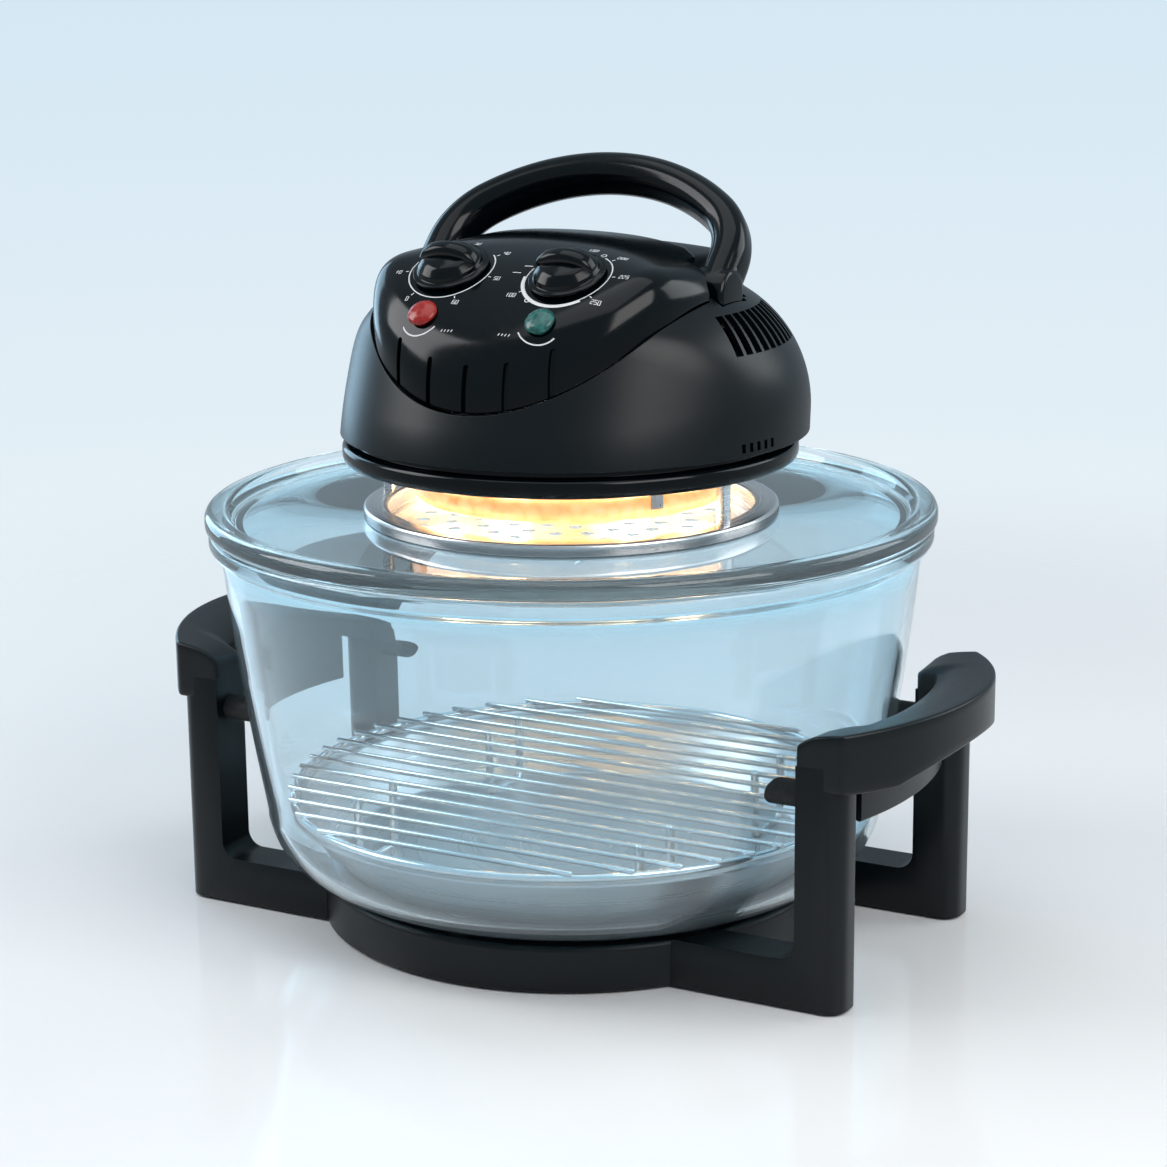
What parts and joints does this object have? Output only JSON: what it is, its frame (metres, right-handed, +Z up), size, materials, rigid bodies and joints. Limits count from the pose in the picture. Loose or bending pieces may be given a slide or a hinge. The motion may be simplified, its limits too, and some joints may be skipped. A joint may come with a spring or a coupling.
{
  "type": "halogen oven",
  "caption": "Countertop halogen oven: deep glass bowl in a stand with side grips, lift-off glass lid carrying a fan heater head with dials and a folding handle.",
  "frame": {"origin": "on the worktop, under the centre of the bowl", "axes": "+Z up, +X towards the right-hand grip as seen from the front, -Y towards the person at the dials"},
  "size_m": [0.407, 0.34, 0.3557],
  "materials": {
    "black_moulding": "satin",
    "gloss_black": "gloss",
    "clear_glass": "clear",
    "polished_steel": "bright",
    "tray_steel": "satin",
    "chromed_wire": "bright",
    "screw_steel": "zinc",
    "bright_aluminium": "bright",
    "silicone": "matt",
    "black_rubber": "matt",
    "white_ceramic": "matt",
    "cream_plastic": "satin",
    "brass_parts": "plain",
    "lamination_steel": "plain",
    "copper_winding": "lacquered",
    "red_lens": "translucent",
    "green_lens": "translucent",
    "neon_glass": "clear",
    "lamp_quartz": "glowing"
  },
  "bodies": {
    "stand": {"base_ring": "black_moulding", "bowl_pads": "silicone", "leg_front_right": "black_moulding", "leg_rear_right": "black_moulding", "leg_front_left": "black_moulding", "leg_rear_left": "black_moulding", "grip_right": "black_moulding", "grip_left": "black_moulding", "steady_buttons": "black_rubber", "button_screws": "screw_steel", "stand_screws": "screw_steel", "foot_plugs": "black_rubber"},
    "bowl": {"glass_bowl": "clear_glass"},
    "tray": {"drip_tray": "tray_steel"},
    "rack": {"wire_rack": "chromed_wire"},
    "lid": {"glass_lid": "clear_glass", "lid_seal": "silicone", "clamp_ring_upper": "polished_steel", "clamp_ring_lower": "polished_steel", "guard_plate": "polished_steel", "head_posts": "polished_steel", "post_screws": "screw_steel", "halogen_lamp": "lamp_quartz", "lamp_end_caps": "white_ceramic", "lamp_clips": "screw_steel", "reflector": "bright_aluminium", "collar": "black_moulding", "heat_shield": "bright_aluminium", "housing": "black_moulding", "control_panel": "gloss_black", "housing_screws": "screw_steel", "thermostat": "cream_plastic", "timer": "screw_steel", "timer_bell": "brass_parts", "red_lens": "red_lens", "green_lens": "green_lens", "neon_lamps": "neon_glass", "handle_pins": "screw_steel", "safety_switch": "black_moulding", "motor_stator": "lamination_steel", "motor_coil": "copper_winding", "motor_bridges": "bright_aluminium", "motor_bearings": "brass_parts", "motor_pillars": "screw_steel", "terminal_block": "cream_plastic", "thermal_fuse": "white_ceramic", "mains_inlet": "black_moulding", "inlet_pins": "brass_parts"},
    "carry_handle": {"handle": "gloss_black"},
    "plunger": {"safety_plunger": "cream_plastic"},
    "temperature_control": {"temperature_knob": "gloss_black", "temperature_spindle": "brass_parts"},
    "timer_control": {"timer_knob": "gloss_black", "timer_spindle": "brass_parts"},
    "fans": {"motor_rotor": "lamination_steel", "motor_shaft": "screw_steel", "cooling_fan": "bright_aluminium", "hot_air_fan": "bright_aluminium", "fan_nut": "brass_parts"}
  },
  "joints": [
    {"name": "bowl_lift", "type": "slide", "parent": "stand", "child": "bowl", "axis": [0, 0, 1], "range_m": [0, 0.15]},
    {"name": "tray_lift", "type": "slide", "parent": "bowl", "child": "tray", "axis": [0, 0, 1], "range_m": [0, 0.08]},
    {"name": "rack_lift", "type": "slide", "parent": "tray", "child": "rack", "axis": [0, 0, 1], "range_m": [0, 0.03]},
    {"name": "lid_lift", "type": "slide", "parent": "bowl", "child": "lid", "axis": [0, 0, 1], "range_m": [0, 0.2]},
    {"name": "handle_pivot", "type": "hinge", "parent": "lid", "child": "carry_handle", "pos_m": [0, 0.002, 0.2991], "axis": [1, 0, 0], "range_deg": [0, 48]},
    {"name": "plunger_slide", "type": "slide", "parent": "lid", "child": "plunger", "axis": [0, 0, 1], "range_m": [0, 0.00102]},
    {"name": "temperature_turn", "type": "hinge", "parent": "lid", "child": "temperature_control", "pos_m": [0.0296, -0.0539, 0.31114], "axis": [0, -0.448, 0.894], "range_deg": [-120, 150]},
    {"name": "timer_turn", "type": "hinge", "parent": "lid", "child": "timer_control", "pos_m": [-0.0296, -0.0539, 0.31114], "axis": [0, -0.448, 0.894], "range_deg": [-150, 150]},
    {"name": "fan_spin", "type": "hinge", "parent": "lid", "child": "fans", "pos_m": [0, 0, 0.26], "axis": [0, 0, 1], "continuous": true}
  ],
  "couplings": [
    {"joint": "plunger_slide", "follows": "handle_pivot", "m_per_rad": 0.0011937}
  ]
}
